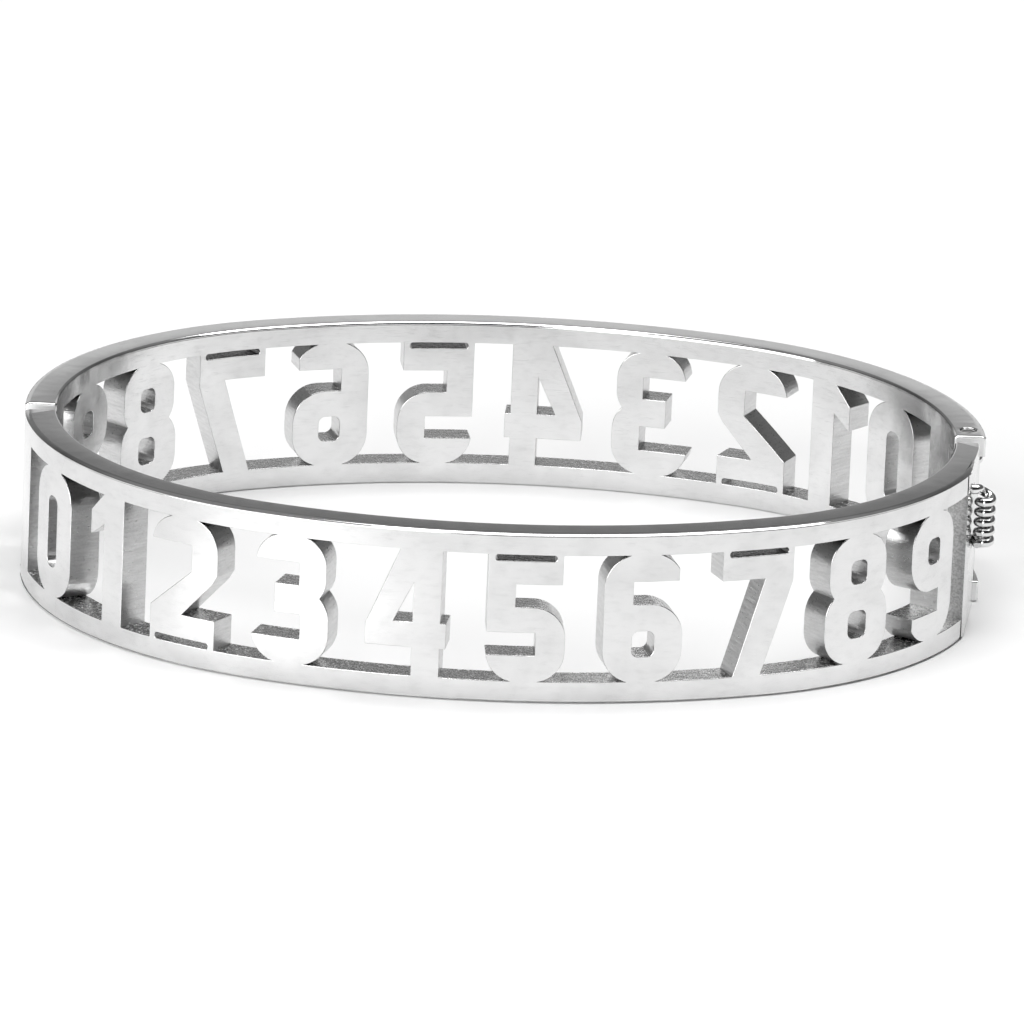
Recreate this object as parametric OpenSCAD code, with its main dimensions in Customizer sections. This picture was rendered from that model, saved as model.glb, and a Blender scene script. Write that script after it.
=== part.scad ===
// Oval hinged bangle: two pierced steel halves, a riveted hinge with a small coil
// spring at one end and a push-in tongue at the other. Z is up; the oval is centred
// on the origin and the lower edge lies on z = 0. The hinge is at +X, the front at -Y.

/* [Band] */
// Length over the two halves, hinge to clasp, mm
band_length = 66.6; // [65:0.2:68]
// Outside radius of the two rounded ends, which also sets the width, mm
end_radius = 24.8; // [24.4:0.1:25.2]
// Height of the band, mm
band_height = 12; // [11.6:0.1:13]
// Thickness of the band, mm
wall = 2.2; // [2.1:0.05:2.4]
// Height of the plain rail above and below the figures, mm
rail = 1.55; // [1.4:0.05:1.7]
// Bevel along the long edges, mm
edge = 0.13; // [0.05:0.01:0.2]

/* [Figures] */
// Width of a figure, mm
figure_width = 5.5; // [5.2:0.1:5.7]
// Width of the narrow first figure, mm
narrow_width = 3.4; // [3.2:0.1:3.6]
// Height of the slit between a flat stroke and the rail, mm
slit = 0.42; // [0.3:0.02:0.5]
// Plain length at the clasp end of each half, mm
clasp_block = 5.4; // [5.2:0.1:6]
// Plain length at the hinge end of each half, mm
hinge_block = 8.9; // [8.5:0.1:9.5]

/* [Hinge] */
// Gap between the two halves at each seam, mm
seam_gap = 1.45; // [1.3:0.05:1.6]
// Distance from the back half's end face to the pin, mm
pin_back = 1.55; // [1.45:0.05:1.65]
// Diameter of the pin, mm
pin_d = 0.8; // [0.7:0.02:0.84]
// Diameter of the riveted pin head, mm
head_d = 1.14; // [1.06:0.02:1.18]
// Thickness of the two ears, mm
ear = 1.5; // [1.4:0.05:1.6]
// Depth of the flat on the front half at the seam, mm
flat_depth = 0.48; // [0.47:0.01:0.52]

/* [Spring] */
// Wire diameter, mm
wire_d = 0.66; // [0.6:0.01:0.68]
// Outside diameter of the coil, mm
coil_d = 1.54; // [1.52:0.01:1.56]
// Rise of the wire in one turn, mm
coil_pitch = 0.72; // [0.7:0.01:0.74]

/* [Clasp] */
// Thickness of the tongue, mm
tongue_t = 0.8; // [0.6:0.05:0.8]
// Height of the tongue, mm
tongue_h = 6; // [5:0.2:6.4]
// Length of the tongue beyond the seam, mm
tongue_out = 3.6; // [3.2:0.1:3.8]

/* [Hidden] */
$fn = 96;
half_l = band_length / 2;
// The sides and ends are arcs that meet where the line through their centres runs
// 5 along and 12 across, so both arcs share one tangent there.
end_x = half_l - end_radius;
side_y = 2.4 * end_x;
side_r = end_radius + 2.6 * end_x;
turn = atan2(12, 5);
end_arc = end_radius * turn * PI / 180;
side_arc = 2 * side_r * (90 - turn) * PI / 180;
half_arc = 2 * end_arc + side_arc;

seam_y = -0.525;
back_y = seam_y + seam_gap / 2;
front_y = seam_y - seam_gap / 2;

figures = [0, 1, 2, 3, 4, 5, 6, 7, 8, 9];
widths = [for (f = figures) f == 1 ? narrow_width : figure_width];
function total(v, n) = n <= 0 ? 0 : v[n - 1] + total(v, n - 1);
open_h = band_height - 2 * rail;
open_top = open_h / 2;
mid_z = band_height / 2;
space = (half_arc - clasp_block - hinge_block - total(widths, 10)) / 11;
// Neighbouring openings run into each other; every second one is a hair taller, so
// that no two of their flat faces lie in one plane.
lap = 0.35;
taller = 0.02;
function centre_of(k, start) = start + (k + 1) * space + total(widths, k) + widths[k] / 2;
function angle_at(s) =
    s < end_arc ? 180 + s / end_radius * 180 / PI :
    s < end_arc + side_arc ? 180 + turn + (s - end_arc) / side_r * 180 / PI :
    360 - turn + (s - end_arc - side_arc) / end_radius * 180 / PI;
function centre_at(s) =
    s < end_arc ? [-end_x, 0] :
    s < end_arc + side_arc ? [0, side_y] : [end_x, 0];
function radius_at(s) = s < end_arc || s > end_arc + side_arc ? end_radius : side_r;

pin_y = back_y + pin_back;
pin_x = half_l - wall / 2 - 0.07;
lug_r = 0.66;
lug_z = ear + 0.1;
eye_r = pin_d / 2 + wire_d / 2 + 0.06;
notch_y = pin_y + eye_r + wire_d / 2 + 0.1;
flat_slope = atan(0.128);
flat_x = half_l - flat_depth;
// The flat runs into the outside arc through an arc of this radius.
blend_r = 10;
flat_reach = (flat_x - end_x) * cos(flat_slope) - front_y * sin(flat_slope);
blend_end = flat_slope + acos((flat_reach - blend_r) / (end_radius - blend_r));

coil_r = (coil_d - wire_d) / 2;
coil_x = half_l - 0.18;
coil_y = front_y - 4.1;
coil_z = mid_z + 0.08;
coil_turns = 5;
// The loops lean a little, and the last one rises to the upper leg, which turns back
// into the band and runs through it to the seam.
coil_lean = 0.1;
end_rise = 0.2;
leg_rise = 0.1;
leg_z = coil_z - 0.13;
coil_end = coil_z + coil_turns * coil_pitch + end_rise;
eye_z = coil_end + leg_rise;
slot_h = wire_d + 0.2;
duct = wire_d + 0.14;
duct_x = half_l - 1.5;
turn_r = (coil_x - coil_r - duct_x) / 2;
leg_x = half_l - 1.6;
leg_y = coil_y + 1.1;
leg_bend = coil_x - coil_r - leg_x - 0.5;

tongue_x = -(half_l - wall / 2 - 0.15);
tongue_in = 2.6;
tongue_z = mid_z - tongue_h / 2;

// Section of the band, radius outward and height upward, with bevelled corners
module section(r) {
    polygon([
        [r - wall + edge, 0], [r - edge, 0], [r, edge], [r, band_height - edge],
        [r - edge, band_height], [r - wall + edge, band_height],
        [r - wall, band_height - edge], [r - wall, edge]
    ]);
}

// Part of a turned ring, kept where the flat outline covers it
module ring_part(x, y, r, outline) {
    intersection() {
        translate([x, y, 0])
            rotate_extrude($fn = 240)
                section(r);
        translate([0, 0, -1])
            linear_extrude(height = band_height + 2)
                polygon(outline);
    }
}

// The front half of the oval, run on a little past both ends
module half_ring() {
    ring_part(-end_x, 0, end_radius,
        [[-end_x, 0], [-end_x - 50, -120], [-100, -120], [-100, 5], [-end_x, 5]]);
    ring_part(0, side_y, side_r,
        [[-end_x, 0], [-end_x - 50, -120], [end_x + 50, -120], [end_x, 0]]);
    ring_part(end_x, 0, end_radius,
        [[end_x, 0], [end_x + 50, -120], [100, -120], [100, 5], [end_x, 5]]);
}

// Flat shapes, x across and y up from the middle of the opening. The two functions
// carry the drawn measures, made for a 5.5 x 8.9 figure, to the chosen size.
function across(v) = v * figure_width / 5.5;
function up(v) = v * open_h / 8.9;

module block(x0, y0, x1, y1) {
    translate([x0, y0])
        square([x1 - x0, y1 - y0]);
}

module round_block(x0, y0, x1, y1, r) {
    block(x0 + r, y0, x1 - r, y1);
    block(x0, y0 + r, x1, y1 - r);
    for (x = [x0 + r, x1 - r], y = [y0 + r, y1 - r])
        translate([x, y])
            circle(r = r, $fn = 64);
}

// Slit under the rail, closed at both ends
module slit_shape(x0, x1, y0) {
    block(x0 + slit / 2, y0, x1 - slit / 2, y0 + slit);
    for (x = [x0 + slit / 2, x1 - slit / 2])
        translate([x, y0 + slit / 2])
            circle(r = slit / 2, $fn = 32);
}

module zero_shape() {
    difference() {
        round_block(across(-2.75), -open_top - 0.1, across(2.75), open_top + 0.1, 2.3);
        round_block(across(-0.75), up(-2.5), across(0.75), up(2.5), 0.6);
    }
}

module one_shape() {
    h = narrow_width / 2;
    block(h - 1.95, -open_top - 1, h, open_top + 1);
    polygon([[h - 1.9, open_top + 0.2], [-h, up(3.1)], [-h, up(1.35)], [h - 1.9, up(2.4)]]);
}

module two_shape() {
    difference() {
        round_block(across(-2.6), up(-0.9), across(2.7), open_top + 0.1, 2.2);
        block(across(-3.2), up(0.9), across(0.7), up(2.65));
        block(across(-3.2), up(-1), across(3.2), up(1.2));
    }
    polygon([
        [across(0.7), up(1.25)], [across(2.7), up(1.25)], [across(2.7), up(0.8)],
        [across(2.3), up(0.1)], [across(0), up(-2.4)], [across(-2.6), up(-2.4)],
        [across(-2.6), up(-2.1)], [across(0.7), up(0.8)]
    ]);
    difference() {
        block(across(-2.6), -open_top - 1, across(2.6), up(-2.38));
        slit_shape(across(-2.15), across(2.15), -open_top);
    }
}

module bowls() {
    round_block(across(-2.75), -open_top - 0.1, across(2.75), up(0.95), 2.2);
    round_block(across(-2.5), up(-0.45), across(2.5), open_top + 0.1, 2);
}

module three_shape() {
    difference() {
        bowls();
        block(across(-3.2), up(1.1), across(0.6), up(2.7));
        block(across(-3.2), up(-2.7), across(0.75), up(-0.95));
        block(across(-3.2), up(-1), across(-1.1), up(1.2));
    }
}

module four_shape() {
    difference() {
        union() {
            polygon([
                [across(-0.45), open_top + 0.2], [across(2.35), open_top + 0.2],
                [across(2.35), -open_top - 0.2], [across(0.45), -open_top - 0.2],
                [across(0.45), up(-2.45)], [across(-2.75), up(-2.45)],
                [across(-2.75), up(-0.95)]
            ]);
            block(across(2.2), up(-2.45), across(2.75), up(-0.65));
        }
        polygon([
            [across(0.45), up(2.1)], [across(0.45), up(-0.65)], [across(-0.85), up(-0.65)]
        ]);
    }
}

module five_shape() {
    difference() {
        union() {
            block(across(-2.6), up(2.38), across(2.45), open_top + 1);
            block(across(-2.6), up(0.5), across(-0.7), open_top + 1);
            block(across(-2.6), up(-1.02), across(0.2), up(0.78));
            round_block(across(-2.6), -open_top - 0.1, across(2.75), up(0.78), 2.2);
        }
        block(across(-3.2), up(-2.62), across(0.75), up(-1.02));
        slit_shape(across(-2.15), across(2.0), open_top - slit);
    }
}

module six_shape() {
    difference() {
        union() {
            intersection() {
                round_block(across(-2.75), -open_top - 0.1, across(2.75), open_top + 0.1, 2.3);
                union() {
                    block(across(-3.2), -open_top - 1, across(-0.75), open_top + 1);
                    block(across(-3.2), up(2.6), across(2.4), open_top + 1);
                }
            }
            round_block(across(-2.75), -open_top - 0.1, across(2.75), up(1), 2.3);
        }
        round_block(across(-0.75), up(-2.7), across(0.8), up(-0.9), 0.5);
    }
}

module seven_shape() {
    difference() {
        union() {
            block(across(-2.6), up(2.38), across(2.6), open_top + 1);
            polygon([
                [across(0.55), up(2.5)], [across(2.6), up(2.5)], [across(2.6), up(2.1)],
                [across(0.35), -open_top - 0.2], [across(-1.65), -open_top - 0.2]
            ]);
        }
        slit_shape(across(-2.15), across(2.15), open_top - slit);
    }
}

module eight_shape() {
    difference() {
        bowls();
        round_block(across(-0.7), up(1.1), across(0.7), up(2.75), 0.45);
        round_block(across(-0.8), up(-2.75), across(0.8), up(-0.85), 0.5);
    }
}

module figure_shape(f) {
    if (f == 0) zero_shape();
    if (f == 1) one_shape();
    if (f == 2) two_shape();
    if (f == 3) three_shape();
    if (f == 4) four_shape();
    if (f == 5) five_shape();
    if (f == 6) six_shape();
    if (f == 7) seven_shape();
    if (f == 8) eight_shape();
    if (f == 9) rotate(180) six_shape();
}

// What is cut away round the ten figures of a half, each straight through the wall
module openings(start) {
    for (k = [0 : 9]) {
        s = centre_of(k, start);
        left = widths[k] / 2 + (k == 0 ? space : space / 2 + lap);
        right = widths[k] / 2 + (k == 9 ? space : space / 2 + lap);
        top = open_top + (k % 2) * taller;
        c = centre_at(s);
        translate([c[0], c[1], mid_z])
            rotate([0, 0, angle_at(s)])
                translate([radius_at(s) - wall - 0.9, 0, 0])
                    rotate([90, 0, 90])
                        linear_extrude(height = wall + 1.5)
                            difference() {
                                block(-left, -top, right, top);
                                figure_shape(figures[k]);
                            }
    }
}

// Upright slab that keeps only one side of a seam
module beyond(y, side) {
    translate([-half_l - 5, side > 0 ? y : y - 10, -1])
        cube([2 * half_l + 10, 10, band_height + 2]);
}

module front_band() {
    color([0.80, 0.80, 0.81])
    difference() {
        union() {
            difference() {
                half_ring();
                beyond(front_y, 1);
                openings(clasp_block);
            }
            // knuckle round the pin; the wire's eye lies on top of it
            translate([0, 0, lug_z])
                linear_extrude(height = eye_z - slot_h / 2 - lug_z) {
                    block(pin_x - lug_r, front_y - 0.7, pin_x + lug_r, pin_y);
                    translate([pin_x, pin_y])
                        circle(r = lug_r, $fn = 64);
                }
        }
        // flat beside the coil
        translate([flat_x, front_y, -1])
            rotate([0, 0, -flat_slope])
                translate([0, -12, 0])
                    cube([4, 20, band_height + 2]);
        translate([end_x + (end_radius - blend_r) * cos(blend_end),
                -(end_radius - blend_r) * sin(blend_end), -1])
            linear_extrude(height = band_height + 2)
                difference() {
                    polygon([[0, 0], [40 * cos(flat_slope), -40 * sin(flat_slope)],
                        [40 * cos(blend_end), -40 * sin(blend_end)]]);
                    circle(r = blend_r + 0.01);
                }
        // hole for the pin
        translate([pin_x, pin_y, -1])
            cylinder(d = pin_d + 0.14, h = band_height + 2, $fn = 48);
        // mouth and duct for the upper leg of the spring
        translate([duct_x - duct / 2, coil_y - turn_r - duct / 2, eye_z - duct / 2])
            cube([3, turn_r + duct / 2 + 0.05, duct]);
        translate([duct_x - duct / 2, coil_y - 0.1, eye_z - duct / 2])
            cube([duct, 6, duct]);
        // notch for the lower leg
        translate([leg_x - 0.05, coil_y - 0.1, leg_z - slot_h / 2])
            cube([3, 1.65, slot_h]);
        // pocket for the tongue's root
        translate([tongue_x - tongue_t / 2 - 0.03, front_y - tongue_in - 0.05, tongue_z - 0.03])
            cube([tongue_t + 0.06, tongue_in + 2, tongue_h + 0.06]);
    }
}

module back_band() {
    color([0.76, 0.76, 0.77])
    difference() {
        rotate([0, 0, 180])
            half_ring();
        beyond(back_y, -1);
        rotate([0, 0, 180])
            openings(hinge_block);
        // notch between the ears
        translate([half_l - wall - 2, back_y - 1, ear])
            cube([wall + 4, notch_y - back_y + 1, band_height - 2 * ear]);
        // holes for the pin, with a sink for its head
        translate([pin_x, pin_y, -1])
            cylinder(d = pin_d + 0.04, h = band_height + 2, $fn = 48);
        translate([pin_x, pin_y, band_height - 0.16])
            cylinder(d = head_d + 0.06, h = 1, $fn = 48);
        // socket for the tongue
        translate([tongue_x - tongue_t / 2 - 0.2, back_y - 1, tongue_z - 0.2])
            cube([tongue_t + 0.4, tongue_out + front_y - back_y + 1.25, tongue_h + 0.4]);
    }
}

module hinge_pin() {
    color([0.72, 0.72, 0.73])
    translate([pin_x, pin_y, 0])
        rotate_extrude($fn = 64)
            union() {
                block(0, 0.1, pin_d / 2, band_height - 0.13);
                intersection() {
                    block(0, band_height - 0.14, head_d / 2, band_height + 1);
                    translate([0, band_height + 0.04 - head_d])
                        circle(r = head_d, $fn = 96);
                }
            }
}

// Path of the spring wire: lower leg, coil, turn, upper leg and the eye round the pin
coil_steps = 24;
wire_path = concat(
    [[leg_x, leg_y, leg_z]],
    [for (a = [90 : -15 : 15])
        [leg_x + 0.5 + leg_bend * cos(a), leg_y - leg_bend + leg_bend * sin(a), leg_z]],
    [for (k = [0 : coil_steps * coil_turns])
        let (a = 180 + 360 * k / coil_steps)
            [coil_x + coil_r * cos(a), coil_y + coil_r * sin(a),
                coil_z + coil_pitch * k / coil_steps
                    - coil_lean * (1 + cos(a)) * min(1, k / 6)
                    + (leg_z - coil_z) * max(0, 1 - k / 6)
                    + end_rise * pow(max(0, k - 102) / 18, 1.5)]],
    [for (a = [15 : 15 : 180])
        [duct_x + turn_r + turn_r * cos(a), coil_y - turn_r * sin(a),
            coil_end + leg_rise * sin(min(90, 2 * a))]],
    [for (k = [0 : 8])
        [duct_x + (pin_x - eye_r - duct_x) * (1 - cos(22.5 * k)) / 2,
            front_y + 0.25 + 2.2 * k / 8, eye_z]],
    [for (a = [180 : -15 : -75])
        [pin_x + eye_r * cos(a), pin_y + eye_r * sin(a), eye_z]]
);
wire_sides = 12;
wire_n = len(wire_path);
function unit(v) = v / norm(v);
function heading(k) = unit(
    wire_path[min(k + 1, wire_n - 1)] - wire_path[max(k - 1, 0)]);
function wire_ring(k) =
    let (t = heading(k), a = unit(cross(t, [0, 0, 1])), b = cross(a, t))
        [for (j = [0 : wire_sides - 1])
            wire_path[k] + wire_d / 2 * (a * cos(360 * j / wire_sides)
                + b * sin(360 * j / wire_sides))];
wire_points = [for (k = [0 : wire_n - 1]) each wire_ring(k)];
wire_faces = concat(
    [[for (j = [wire_sides - 1 : -1 : 0]) j]],
    [for (k = [0 : wire_n - 2], j = [0 : wire_sides - 1])
        let (p = k * wire_sides + j, q = k * wire_sides + (j + 1) % wire_sides)
            [p, q, q + wire_sides, p + wire_sides]],
    [[for (j = [0 : wire_sides - 1]) (wire_n - 1) * wire_sides + j]]
);

module hinge_spring() {
    color([0.70, 0.70, 0.72])
    polyhedron(points = wire_points, faces = wire_faces);
}

module snap_tongue() {
    color([0.62, 0.62, 0.64])
    translate([0, 0, tongue_z])
        linear_extrude(height = tongue_h)
            polygon([
                [tongue_x - tongue_t / 2, front_y - tongue_in],
                [tongue_x + tongue_t / 2, front_y - tongue_in],
                [tongue_x + tongue_t / 2, front_y + tongue_out - 0.3],
                [tongue_x + tongue_t / 2 - 0.2, front_y + tongue_out],
                [tongue_x - tongue_t / 2 + 0.2, front_y + tongue_out],
                [tongue_x - tongue_t / 2, front_y + tongue_out - 0.3]
            ]);
}

front_band();
back_band();
hinge_pin();
hinge_spring();
snap_tongue();
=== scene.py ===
"""Oval hinged bangle in pierced steel, dressed for the picture. Metres, +Z up, hinge at +X."""
import math

import bmesh
import bpy
from mathutils import Matrix, Vector


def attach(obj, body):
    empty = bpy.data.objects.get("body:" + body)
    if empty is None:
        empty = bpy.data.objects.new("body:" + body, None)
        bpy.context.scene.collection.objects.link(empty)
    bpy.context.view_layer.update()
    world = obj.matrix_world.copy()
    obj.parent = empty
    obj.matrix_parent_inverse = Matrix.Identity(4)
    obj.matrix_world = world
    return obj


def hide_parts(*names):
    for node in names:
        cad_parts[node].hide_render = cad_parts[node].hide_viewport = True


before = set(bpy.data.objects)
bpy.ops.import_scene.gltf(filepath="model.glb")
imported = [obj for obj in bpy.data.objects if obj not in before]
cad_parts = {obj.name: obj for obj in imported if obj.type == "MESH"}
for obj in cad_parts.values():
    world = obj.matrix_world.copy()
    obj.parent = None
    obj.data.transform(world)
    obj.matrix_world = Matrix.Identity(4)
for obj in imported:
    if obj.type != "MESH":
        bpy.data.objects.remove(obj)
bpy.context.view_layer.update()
scene = bpy.context.scene

# Camera: it stands in front of the band, a little above it, with a long lens, and is
# aimed so that the centre of the top edge falls left of and above the picture's middle.
LIFT = math.radians(16.506)
SWING = math.radians(1.323)
ROLL = math.radians(2.432)
DISTANCE = 0.84746
PIXELS = 1024
FOCAL_PIXELS = 12242
SENSOR = 36
AIM_PIXEL = (506.335, 420.428)
centre_top = Vector((0, 0, 0.012))
ahead = Vector((math.sin(SWING) * math.cos(LIFT), math.cos(SWING) * math.cos(LIFT),
                -math.sin(LIFT)))
right = Vector((math.cos(SWING), -math.sin(SWING), 0))
upward = right.cross(ahead)
level = Matrix((right, upward, -ahead)).transposed()
aim = (Matrix.Rotation(ROLL, 3, "Z")
       @ Matrix.Rotation(-math.atan((PIXELS / 2 - AIM_PIXEL[0]) / FOCAL_PIXELS), 3, "Y")
       @ Matrix.Rotation(-math.atan((PIXELS / 2 - AIM_PIXEL[1]) / FOCAL_PIXELS), 3, "X"))
camera_data = bpy.data.cameras.new("camera")
camera_data.sensor_width = SENSOR
camera_data.lens = FOCAL_PIXELS / PIXELS * SENSOR
camera_data.clip_start = 0.05
camera_data.clip_end = 20
camera = bpy.data.objects.new("camera", camera_data)
camera.matrix_world = Matrix.Translation(centre_top - ahead * DISTANCE) @ (level @ aim).to_4x4()
scene.collection.objects.link(camera)
scene.camera = camera
scene.view_settings.view_transform = "Standard"


# Floor: a sheet of matt white paper, far larger than the picture, so that no edge of it
# shows. Its finish and every later one are sums and products of sockets: Socket wraps
# one, Nodes makes the nodes of a tree, and Finish is a new material.
class Socket:
    def __init__(self, nodes, link):
        self.nodes = nodes
        self.link = link

    def maths(self, operation, *others):
        return self.nodes.node("ShaderNodeMath", {"operation": operation}, self, *others)

    def __add__(self, other):
        return self.maths("ADD", other)

    def __sub__(self, other):
        return self.maths("SUBTRACT", other)

    def __rsub__(self, other):
        return self.nodes.node("ShaderNodeMath", {"operation": "SUBTRACT"}, other, self)

    def __mul__(self, other):
        return self.maths("MULTIPLY", other)

    def __abs__(self):
        return self.maths("ABSOLUTE")

    __radd__ = __add__
    __rmul__ = __mul__


class Nodes:
    def __init__(self, tree):
        self.tree = tree

    def node(self, kind, settings=None, *values, output=0, **named):
        made = self.tree.nodes.new(kind)
        for name, value in (settings or {}).items():
            setattr(made, name, value)
        pairs = list(zip(made.inputs, values)) + [
            (made.inputs[name.replace("_", " ")], value) for name, value in named.items()]
        for socket, value in pairs:
            if isinstance(value, Socket):
                self.tree.links.new(value.link, socket)
            elif value is not None:
                socket.default_value = value
        if output == "all":
            return [Socket(self, out) for out in made.outputs]
        return Socket(self, made.outputs[output])

    def step(self, value, low, high):
        return self.node("ShaderNodeMapRange", {"interpolation_type": "SMOOTHSTEP"},
                         value, low, high, 0.0, 1.0)

    def noise(self, place, scale, detail=3.0, rough=0.55):
        return self.node("ShaderNodeTexNoise", None, Vector=place, Scale=scale,
                         Detail=detail, Roughness=rough)

    def grey(self, value):
        return self.node("ShaderNodeCombineColor", None, value, value, value)


class Finish(Nodes):
    def __init__(self, name, **constants):
        self.material = bpy.data.materials.new(name)
        self.material.use_nodes = True
        super().__init__(self.material.node_tree)
        self.shader = self.tree.nodes["Principled BSDF"]
        for socket, value in constants.items():
            self.shader.inputs[socket.replace("_", " ")].default_value = value

    def feed(self, **named):
        for name, value in named.items():
            self.tree.links.new(value.link, self.shader.inputs[name.replace("_", " ")])


PAPER_REACH = 3
PAPER_WHITE = 0.93
floor_mesh = bpy.data.meshes.new("floor")
floor_mesh.from_pydata([(-PAPER_REACH, -PAPER_REACH, 0), (PAPER_REACH, -PAPER_REACH, 0),
                        (PAPER_REACH, PAPER_REACH, 0), (-PAPER_REACH, PAPER_REACH, 0)],
                       [], [(0, 1, 2, 3)])
floor = bpy.data.objects.new("floor", floor_mesh)
scene.collection.objects.link(floor)
paper = Finish("white_table", Base_Color=(PAPER_WHITE, PAPER_WHITE, PAPER_WHITE, 1),
               Roughness=0.9, Specular_IOR_Level=0.1)
floor_mesh.materials.append(paper.material)

# Light: a wide soft lamp overhead and a larger one in front on the left, like a window.
# A small spot lights the paper just in front of the band's left part, and the outer face
# mirrors it as a white patch.
MIDDLE = Vector((0, 0, 0.006))
PATCH_PLACE = (-0.030, -0.041, 0.4)
PATCH_ANGLE = math.radians(5.6)


def soft_light(name, place, size, power):
    data = bpy.data.lights.new(name, "AREA")
    data.shape = "RECTANGLE"
    data.size, data.size_y = size
    data.energy = power
    lamp = bpy.data.objects.new(name, data)
    lamp.location = place
    lamp.rotation_euler = (MIDDLE - Vector(place)).to_track_quat("-Z", "Y").to_euler()
    scene.collection.objects.link(lamp)


soft_light("overhead", (0.20, 0.05, 1.2), (0.75, 1.2), 13)
soft_light("left_window", (-1.05, -1.25, 0.62), (2.0, 1.2), 30)
patch = bpy.data.lights.new("patch", "SPOT")
patch.energy = 6
patch.spot_size = PATCH_ANGLE
patch.spot_blend = 1
patch.shadow_soft_size = 0.01
patch_lamp = bpy.data.objects.new("patch", patch)
patch_lamp.location = PATCH_PLACE
scene.collection.objects.link(patch_lamp)

# Room: dark in front. Elsewhere it glows faintly, a little more low down and high up, and
# straight behind is a pale strip that the flat top edge mirrors.
room = bpy.data.worlds.new("room")
room.use_nodes = True
scene.world = room
sky = Nodes(room.node_tree)
facing = sky.node("ShaderNodeTexCoord", output="all")[0]
back, up = sky.node("ShaderNodeSeparateXYZ", None, facing, output="all")[1:]
not_front = 1 - sky.step(0 - back, 0.2, 0.5)
low = 1 - sky.step(up, 0.30, 0.50)
high = sky.step(up, 0.50, 0.75)
behind = sky.step(back, 0.7, 0.93)
strip = sky.step(back, 0.9, 0.95) * (1 - sky.step(up, 0.274, 0.290))
glow = 0.03 + not_front * (0.07 + 0.06 * low + 0.16 * high) + 0.05 * behind + 0.45 * strip
sky.tree.links.new(sky.grey(glow).link, sky.tree.nodes["Background"].inputs["Color"])


# Band: two halves in polished stainless steel, each cut through round ten plain figures
# from a strip, bent to half the oval and ground flat on its long edges. The cut walls are
# left as the cutter made them, and every outer corner is very slightly rounded.
WALL = 2.2
HEIGHT = 12.0
RAIL = 1.55
CLASP_BLOCK = 5.4
HINGE_BLOCK = 8.9
SEAM_DEPTH = 1.6
COLUMN = 1.0

# In mm, the outer face of the front half is an arc of radius SIDE_R about (0, SIDE_Y) between
# two of radius END_R about (END_X, 0) and (-END_X, 0). The line on which two arcs meet
# falls by DROP in a run of RUN.
END_X, END_R = 8.5, 24.8
SIDE_Y, SIDE_R = 20.4, 46.9
DROP, RUN = 12, 5
TURN = math.atan2(DROP, RUN)
SIDE_LENGTH = SIDE_R * (math.pi / 2 - TURN)
QUARTER = SIDE_LENGTH + END_R * TURN


# A half is rolled out flat to have its corners rounded: x runs along the outer face from
# the half's middle, y into the metal, z up, all in mm. The back half is turned round first.
def rolled_out(point, way):
    u, v, w = point.x * 1000 * way, point.y * 1000 * way, point.z * 1000
    if (abs(u) - END_X) * DROP + v * RUN > 0:
        reach = math.hypot(abs(u) - END_X, v)
        along = QUARTER - END_R * math.atan2(-v, abs(u) - END_X)
        return Vector((math.copysign(along, u), END_R - reach, w))
    reach = math.hypot(u, SIDE_Y - v)
    return Vector((SIDE_R * math.atan2(u, SIDE_Y - v), SIDE_R - reach, w))


# The way back. It also gives the matrix that turns a direction, such as a normal.
def rolled_up(point, way):
    side = math.copysign(1, point.x)
    along = abs(point.x)
    if along > SIDE_LENGTH:
        angle = (QUARTER - along) / END_R
        reach = END_R - point.y
        centre = Vector((side * END_X, 0, 0))
        outward = Vector((side * math.cos(angle), -math.sin(angle), 0))
        stretch = END_R / reach
    else:
        angle = along / SIDE_R
        reach = SIDE_R - point.y
        centre = Vector((0, SIDE_Y, 0))
        outward = Vector((side * math.sin(angle), -math.cos(angle), 0))
        stretch = SIDE_R / reach
    place = (centre + outward * reach + Vector((0, 0, point.z))) / 1000
    onward = Vector((-outward.y, outward.x, 0))
    turned = Matrix.Diagonal((way, way, 1))
    return turned @ place, turned @ Matrix((onward * stretch, -outward, (0, 0, 1))).transposed()


# The half is cut across at these lengths, so that it bends evenly when it is rolled up.
def columns():
    for k in range(int(QUARTER / COLUMN) + 1):
        along = QUARTER - (k + 0.5) * COLUMN
        yield along
        yield -along


def cut(mesh, faces, point, normal):
    edges = {e for f in faces for e in f.edges}
    corners = {v for f in faces for v in f.verts}
    bmesh.ops.bisect_plane(mesh, geom=[*faces, *edges, *corners], dist=1e-7,
                           plane_co=point, plane_no=normal)


# The ground top and bottom edges are rounded most on the outside, the corners at the seams
# a little less, and the corners of the figures barely. The outside is never deeper than
# OUTER_DEPTH, on the flat beside the hinge too.
ROUNDING = 0.05
SEAM_ROUNDING = 0.16
RIM_ROUNDING = 0.22
ROUND_STEPS = 3
SHARP = math.radians(25)
OUTER_DEPTH = 0.49
EDGE_SLACK = 0.02


def corner_rounding(edge):
    faces = edge.link_faces
    if any(abs(f.normal.x) > 0.9 and abs(f.calc_center_median().x) > QUARTER - SEAM_DEPTH
           for f in faces):
        return SEAM_ROUNDING
    if all(abs(v.co.z - HEIGHT / 2) > HEIGHT / 2 - EDGE_SLACK and v.co.y < OUTER_DEPTH
           for v in edge.verts):
        return RIM_ROUNDING
    return ROUNDING


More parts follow.
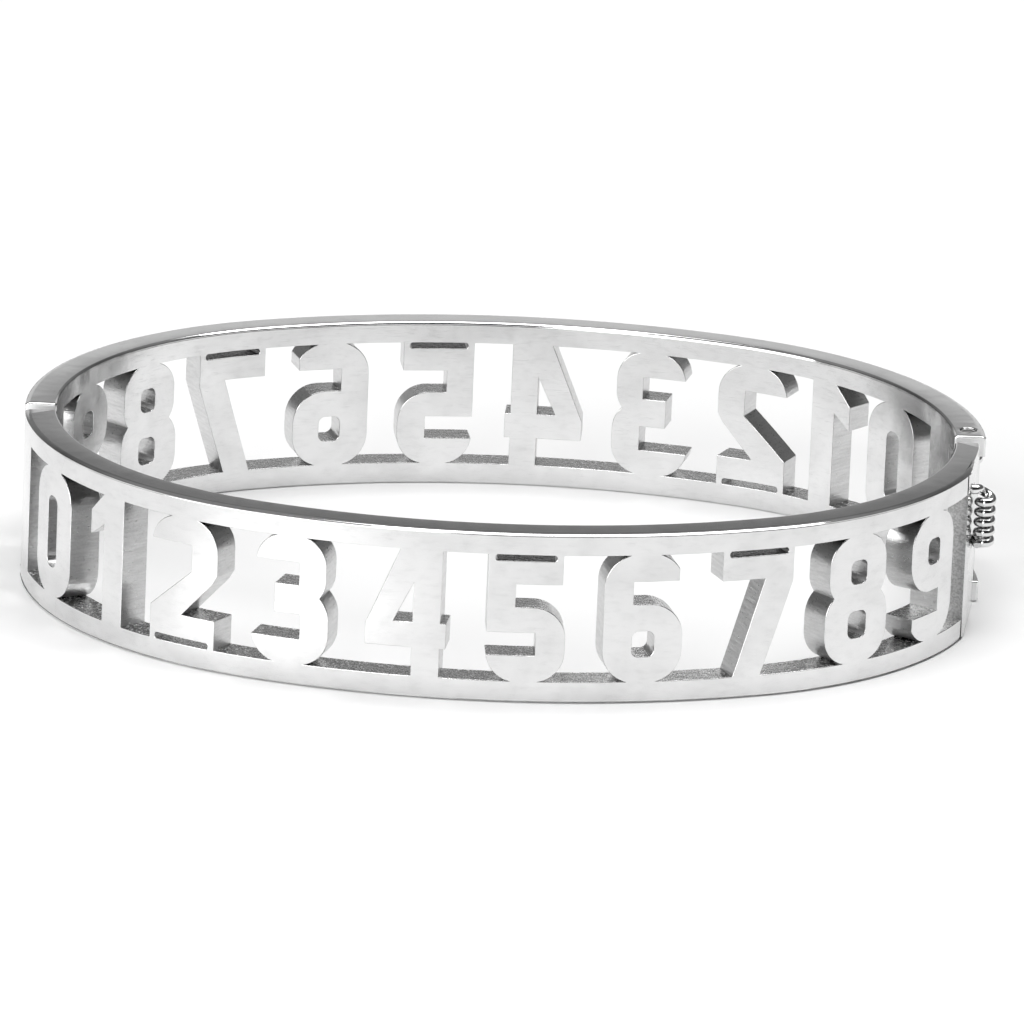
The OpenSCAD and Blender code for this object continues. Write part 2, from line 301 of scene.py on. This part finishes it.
def bevelled(mesh):
    widths = mesh.edges.layers.float.new("bevel_weight_edge")
    for edge in mesh.edges:
        if edge.is_manifold and edge.calc_face_angle_signed() > SHARP:
            edge[widths] = corner_rounding(edge) / RIM_ROUNDING
    data = bpy.data.meshes.new("rolled_out")
    mesh.to_mesh(data)
    mesh.free()
    carrier = bpy.data.objects.new("rolled_out", data)
    scene.collection.objects.link(carrier)
    bevel = carrier.modifiers.new("bevel", "BEVEL")
    bevel.width = RIM_ROUNDING
    bevel.limit_method = "WEIGHT"
    bevel.segments = ROUND_STEPS
    bevel.use_clamp_overlap = False
    bevel.loop_slide = False
    mesh = bmesh.new()
    mesh.from_object(carrier, bpy.context.evaluated_depsgraph_get())
    bpy.data.objects.remove(carrier)
    return mesh


# Large faces keep their own direction right up to a rounded corner, and the small faces of
# the corner turn from one to the other, so that flat metal reflects as flat. A fan is the
# faces round a point that no sharp edge parts, and they share one direction there.
SMOOTH = math.radians(35)
FLAT_AREA = 0.3


def soft_normals(mesh):
    pull = {face: face.normal * min(face.calc_area(), FLAT_AREA) ** 1.5 for face in mesh.faces}
    normals = {}
    for face in mesh.faces:
        for loop in face.loops:
            if loop in normals:
                continue
            fan = {face: loop}
            queue = [loop]
            while queue:
                here = queue.pop()
                last = here.link_loop_prev
                for edge, there in ((here.edge, here.link_loop_radial_next.link_loop_next),
                                    (last.edge, last.link_loop_radial_next)):
                    if edge.smooth and there.face not in fan:
                        fan[there.face] = there
                        queue.append(there)
            normal = sum((pull[f] for f in fan), Vector()).normalized()
            for there in fan.values():
                normals[there] = normal
    return [normals[loop] for face in mesh.faces for loop in face.loops]


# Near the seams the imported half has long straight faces. They are cut across before the
# half is rolled out, because rolled out they are bent. CUT_REACH is in metres.
STRAIGHT_REACH = 12
CUT_REACH = 0.016
LEVEL_SLACK = 0.03


def rolled_out_half(node, way):
    mesh = bmesh.new()
    mesh.from_mesh(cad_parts[node].data)
    bmesh.ops.remove_doubles(mesh, verts=mesh.verts, dist=2e-6)
    for along in columns():
        if QUARTER - abs(along) > STRAIGHT_REACH:
            continue
        place, axes = rolled_up(Vector((along, 1, 0)), way)
        near = [f for f in mesh.faces if (f.calc_center_median() - place).length < CUT_REACH]
        cut(mesh, near, place, axes.col[0])
    for corner in mesh.verts:
        flat = rolled_out(corner.co, way)
        for level in (RAIL, HEIGHT - RAIL):
            if abs(flat.z - level) < LEVEL_SLACK:
                flat.z = level
        corner.co = flat
    bmesh.ops.remove_doubles(mesh, verts=mesh.verts, dist=0.002)
    bmesh.ops.dissolve_degenerate(mesh, edges=mesh.edges, dist=0.002)
    bmesh.ops.dissolve_limit(mesh, angle_limit=math.radians(0.6), use_dissolve_boundaries=False,
                             verts=mesh.verts, edges=mesh.edges)
    mesh.normal_update()
    return mesh


# What made a face is kept as a colour, for the finish: red for an upright cut wall, green
# for a sill or the top of an opening, blue for a filed end face, black for polished metal.
POLISHED, CUT_WALL, SILL, FILED = (0, 0, 0, 1), (1, 0, 0, 1), (0, 1, 0, 1), (0, 0, 1, 1)
BLOCK_SLACK = 0.4


def made_by(face, way):
    middle = face.calc_center_median()
    inside = (EDGE_SLACK < middle.y < WALL - EDGE_SLACK
              and RAIL - EDGE_SLACK < middle.z < HEIGHT - RAIL + EDGE_SLACK)
    among_figures = (CLASP_BLOCK - BLOCK_SLACK - QUARTER < middle.x * way
                     < QUARTER - HINGE_BLOCK + BLOCK_SLACK)
    if inside and among_figures:
        if abs(face.normal.y) < 0.3:
            return SILL if abs(face.normal.z) > 0.9 else CUT_WALL
    elif abs(face.normal.x) > 0.8 and QUARTER - abs(middle.x) < SEAM_DEPTH:
        return FILED
    return POLISHED


def rounded_half(name, node, way):
    mesh = bevelled(rolled_out_half(node, way))
    for along in columns():
        cut(mesh, list(mesh.faces), Vector((along, 0, 0)), Vector((1, 0, 0)))
    bmesh.ops.triangulate(mesh, faces=mesh.faces)
    mesh.normal_update()
    for edge in mesh.edges:
        edge.smooth = edge.is_manifold and edge.calc_face_angle() < SMOOTH
    kinds = mesh.loops.layers.float_color.new("cut")
    rolled = mesh.verts.layers.float_vector.new("rolled")
    for corner in mesh.verts:
        corner[rolled] = corner.co * Vector((way, 1, 1))
    for face in mesh.faces:
        face.smooth = True
        kind = made_by(face, way)
        for loop in face.loops:
            loop[kinds] = kind
    normals = soft_normals(mesh)
    done = bpy.data.meshes.new(name)
    mesh.to_mesh(done)
    mesh.free()
    back = [rolled_up(corner.co, way) for corner in done.vertices]
    for corner, (place, axes) in zip(done.vertices, back):
        corner.co = place
    done.normals_split_custom_set(
        [(back[loop.vertex_index][1] @ normal).normalized()
         for loop, normal in zip(done.loops, normals)])
    half = bpy.data.objects.new(name, done)
    scene.collection.objects.link(half)
    return half


# The finish is drawn on the rolled-out half: s along it, t into the metal and z up.
band = Finish("polished_band", Metallic=1.0)
rolled = band.node("ShaderNodeAttribute", {"attribute_name": "rolled"}, output="all")[1]
s, t, z = band.node("ShaderNodeSeparateXYZ", None, rolled, output="all")
kinds = band.node("ShaderNodeAttribute", {"attribute_name": "cut"}, output="all")[0]
wall, sill, filed = band.node("ShaderNodeSeparateColor", None, kinds, output="all")


def stretched(u, v, w):
    return band.node("ShaderNodeCombineXYZ", None, s * u, t * v, z * w)


# Patterns: sawn lines and grains on the walls, flecks on the sills, and faint clouds,
# smears and scratches on the polished faces.
lines = band.noise(stretched(6.0, 0.5, 6.0), 1.0, 3.0, 0.65)
flecks = band.noise(stretched(2.6, 2.6, 2.6), 1.0, 4.0, 0.65)
grains = band.noise(stretched(7.0, 5.0, 7.0), 1.0, 2.0, 0.6)
clouds = band.noise(stretched(0.22, 0.3, 0.3), 1.0, 4.0, 0.55)
smears = band.noise(stretched(0.9, 0.9, 2.4), 1.0, 3.0, 0.6)
scratches = band.noise(stretched(0.8, 3.0, 14.0), 1.0, 2.0, 0.5)
mottle = band.step(flecks, 0.40, 0.62)
grit = band.step(grains, 0.42, 0.60)
smudge = band.step(clouds, 0.35, 0.70)
smear = band.step(smears, 0.45, 0.75)
scratch = band.step(scratches, 0.64, 0.72)

# Places: the ground top and bottom edges, the coarse wall next to the hinge, the slits under
# the top rail, whose sills get painted shade, and the inner face towards both seams, which gets a
# painted dark reflection.
ground = band.step(z, HEIGHT - 0.26, HEIGHT - 0.21) + (1 - band.step(z, 0.21, 0.26))
coarse = band.step(s, QUARTER - 10.5, QUARTER - 8.5)
# Painted shade: darkens the sills of the slits under the top rail, as shade in the narrow slits
# would.
painted_slit_shade = band.step(z, 8.7, 9.1)
ends = band.step(abs(s), QUARTER - 17, QUARTER - 5)
inner = band.step(t, WALL - 0.08, WALL - 0.03)
# Painted reflection: darkens the inner face towards both seams, where it would mirror the band's
# own dark inside.
painted_dark_reflection = inner * ends * (0.16 + 0.26 * smudge)
polished = 1 - wall - sill - filed
rough = (polished * (0.06 + (1 - ground) * (0.07 + 0.08 * smudge + 0.04 * smear))
         + wall * (0.24 + 0.10 * grains + 0.12 * coarse)
         + sill * (0.14 + 0.42 * mottle * grit)
         + filed * 0.42)
# Painted reflection: the polished shade is darkened on the inner face near both seams.
shade = (polished * (0.765 - 0.07 * smudge - 0.05 * smear - 0.05 * scratch - painted_dark_reflection)
         + wall * (0.38 + 0.34 * lines + 0.14 * grains - coarse * 0.20 * grit)
         # Painted shade: the sills of the slits under the top rail are darkened here.
         + sill * (0.46 + 0.52 * mottle * grit + 0.14 * lines) * (1 - 0.86 * painted_slit_shade)
         + filed * 0.92)
height = (wall * (lines * 0.9 + grains * (0.3 + 1.2 * coarse))
          + sill * (flecks * 2.2 + grains * 1.2) + filed * grains * 0.4
          + polished * (1 - ground) * (clouds * 0.9 + scratch * -0.05))
band.feed(Roughness=rough, Base_Color=band.grey(shade),
          Normal=band.node("ShaderNodeBump", None, Strength=0.4, Distance=0.00006, Height=height))
for name, node, body, way in (("front_half", "front_band", "front", 1),
                              ("back_half", "back_band", "back", -1)):
    half = rounded_half(name, node, way)
    half.data.materials.append(band.material)
    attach(half, body)
    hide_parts(node)


# Pin: one round steel pin through the ears and the knuckle, with its top riveted over into
# a low round head that lies in a sink in the upper ear.
PIN = Vector((32.13, 1.75, 0))
PIN_R = 0.4
PIN_FOOT = 0.1
PIN_CHAMFER = 0.06
HEAD_R = 0.57
HEAD_UNDER = HEIGHT - 0.14
HEAD_CHAMFER = 0.02
HEAD_TOP = HEIGHT + 0.04
DOME_R = 1.14
DOME_Z = HEAD_TOP - DOME_R
DOME_STEPS = 10
PIN_SIDES = 64


def turned(name, profile, centre, count):
    mesh = bmesh.new()
    rings = []
    for reach, level in profile:
        if reach == 0:
            rings.append([mesh.verts.new((centre + Vector((0, 0, level))) / 1000)] * count)
            continue
        rings.append([mesh.verts.new((centre + Vector((
            reach * math.cos(2 * math.pi * k / count),
            reach * math.sin(2 * math.pi * k / count), level))) / 1000) for k in range(count)])
    for low, high in zip(rings, rings[1:]):
        for k in range(count):
            corners = [low[k], low[(k + 1) % count], high[(k + 1) % count], high[k]]
            mesh.faces.new(list(dict.fromkeys(corners)))
    for face in mesh.faces:
        face.smooth = True
    mesh.normal_update()
    for edge in mesh.edges:
        edge.smooth = edge.calc_face_angle() < SMOOTH
    data = bpy.data.meshes.new(name)
    mesh.to_mesh(data)
    mesh.free()
    piece = bpy.data.objects.new(name, data)
    scene.collection.objects.link(piece)
    return piece


dome = [math.asin(HEAD_R / DOME_R) * (1 - k / DOME_STEPS) for k in range(DOME_STEPS)]
profile = [(0, PIN_FOOT), (PIN_R - PIN_CHAMFER, PIN_FOOT), (PIN_R, PIN_FOOT + PIN_CHAMFER),
           (PIN_R, HEAD_UNDER), (HEAD_R - HEAD_CHAMFER, HEAD_UNDER),
           (HEAD_R, HEAD_UNDER + HEAD_CHAMFER)]
profile += [(DOME_R * math.sin(a), DOME_Z + DOME_R * math.cos(a)) for a in dome]
profile.append((0, HEAD_TOP))
rivet = turned("rivet", profile, PIN, PIN_SIDES)
steel = Finish("riveted_steel", Metallic=1.0)
spot = steel.node("ShaderNodeTexCoord", output=3)
dents = steel.noise(spot, 2500.0, 2.0)
steel.feed(Roughness=0.08 + 0.12 * dents, Base_Color=steel.grey(0.70 + 0.16 * dents),
           Normal=steel.node("ShaderNodeBump", None, Strength=0.1, Distance=0.00002, Height=dents))
rivet.data.materials.append(steel.material)
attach(rivet, "back")
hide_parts("hinge_pin")

# Spring: five turns of bright round wire outside the flat. Its lower end is bent into a
# notch, and its upper end turns back into the band, runs to the seam and round the pin.
WIRE_R = 0.33
WIRE_SIDES = 28
COIL = Vector((33.12, -5.35, 6.08))
COIL_R = 0.44
TURNS = 5
PITCH = 0.72
LEAN = 0.1
LOW_LEG = Vector((31.7, -4.25, 5.95))
LOW_STRAIGHT = 0.5
LOW_BEND = COIL.x - COIL_R - LOW_LEG.x - LOW_STRAIGHT
TOP_RISE = 0.2
RISE_OVER = 270
LEG_X = 31.8
LEG_RISE = 0.1
LEG_BEND = (COIL.x - COIL_R - LEG_X) / 2
TOP = COIL.z + TURNS * PITCH + TOP_RISE
SEAM_Y = -1.0
CROSSING = 2.2
CROSSING_STEPS = 24
EYE_R = 0.79
EYE_Z = TOP + LEG_RISE
EYE_END = -75
STEP = 6


# The wire's middle line, in mm. Angles are in degrees until they are used.
def wire_path():
    yield LOW_LEG
    for k in range(90, 0, -STEP):
        a = math.radians(k)
        yield LOW_LEG + Vector((LOW_STRAIGHT + LOW_BEND * math.cos(a),
                                LOW_BEND * (math.sin(a) - 1), 0))
    for k in range(0, 360 * TURNS + 1, STEP):
        a = math.radians(180 + k)
        lift = (PITCH * k / 360 - LEAN * (1 + math.cos(a)) * min(1, k / 90)
                + (LOW_LEG.z - COIL.z) * max(0, 1 - k / 90)
                + TOP_RISE * (max(0, k - 360 * TURNS + RISE_OVER) / RISE_OVER) ** 1.5)
        yield COIL + Vector((COIL_R * math.cos(a), COIL_R * math.sin(a), lift))
    for k in range(STEP, 181, STEP):
        a = math.radians(k)
        yield Vector((LEG_X + LEG_BEND * (1 + math.cos(a)), COIL.y - LEG_BEND * math.sin(a),
                      TOP + LEG_RISE * math.sin(min(math.pi / 2, 2 * a))))
    for k in range(CROSSING_STEPS + 1):
        done = k / CROSSING_STEPS
        slide = (1 - math.cos(math.pi * done)) / 2
        yield Vector((LEG_X + (PIN.x - EYE_R - LEG_X) * slide, SEAM_Y + CROSSING * done, EYE_Z))
    for k in range(180, EYE_END - 1, -STEP):
        a = math.radians(k)
        yield Vector((PIN.x + EYE_R * math.cos(a), PIN.y + EYE_R * math.sin(a), EYE_Z))


wire = Finish("bright_wire", Metallic=1.0)
spot = wire.node("ShaderNodeTexCoord", output=3)
drawn = wire.noise(spot, 2600.0, 3.0)
wire.feed(Roughness=0.07 + 0.10 * drawn, Base_Color=wire.grey(0.62 + 0.20 * drawn),
          Normal=wire.node("ShaderNodeBump", None, Strength=0.2, Distance=0.00003, Height=drawn))

# The tree runs a round wire along that line.
path = [place / 1000 for place in wire_path()]
data = bpy.data.meshes.new("spring_path")
data.from_pydata(path, [(k, k + 1) for k in range(len(path) - 1)], [])
coil = bpy.data.objects.new("coil_spring", data)
scene.collection.objects.link(coil)
tree = bpy.data.node_groups.new("bent_wire", "GeometryNodeTree")
for label, way, kind in (("Path", "INPUT", "Geometry"), ("Wire radius", "INPUT", "Float"),
                         ("Sides", "INPUT", "Int"), ("Wire", "OUTPUT", "Geometry")):
    tree.interface.new_socket(label, in_out=way, socket_type="NodeSocket" + kind)
bent = Nodes(tree)
route, radius, sides = bent.node("NodeGroupInput", output="all")[:3]
curve = bent.node("GeometryNodeMeshToCurve", None, route)
ring = bent.node("GeometryNodeCurvePrimitiveCircle", None, Resolution=sides, Radius=radius)
drawn_wire = bent.node("GeometryNodeCurveToMesh", None, Curve=curve, Profile_Curve=ring,
                       Fill_Caps=True)
whole = bent.node("GeometryNodeRealizeInstances", None, drawn_wire)
dressed = bent.node("GeometryNodeSetMaterial", None, Geometry=whole, Material=wire.material)
bent.node("NodeGroupOutput", None, dressed, output="all")
maker = coil.modifiers.new("wire", "NODES")
maker.node_group = tree
for item in tree.interface.items_tree:
    if item.name == "Wire radius":
        maker[item.identifier] = WIRE_R / 1000
    if item.name == "Sides":
        maker[item.identifier] = WIRE_SIDES
coil.data = bpy.data.meshes.new_from_object(
    coil.evaluated_get(bpy.context.evaluated_depsgraph_get()))
coil.modifiers.remove(maker)
coil.data.shade_smooth()
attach(coil, "front")
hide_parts("hinge_spring")

# Tongue: a plain steel strip fixed in the front half at the clasp, brushed along its length,
# of which only the edge shows in the seam.
brushed = Finish("brushed_strip", Metallic=1.0)
spot = brushed.node("ShaderNodeTexCoord", output=3)
x, y, z = brushed.node("ShaderNodeSeparateXYZ", None, spot, output="all")
along_strip = brushed.node("ShaderNodeCombineXYZ", None, x * 6000, y * 300, z * 6000)
grain = brushed.noise(along_strip, 1.0)
brushed.feed(Roughness=0.25 + 0.2 * grain, Base_Color=brushed.grey(0.50 + 0.2 * grain),
             Normal=brushed.node("ShaderNodeBump", None, Strength=0.3, Distance=0.00003,
                                 Height=grain))
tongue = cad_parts["snap_tongue"]
tongue.data.materials.clear()
tongue.data.materials.append(brushed.material)
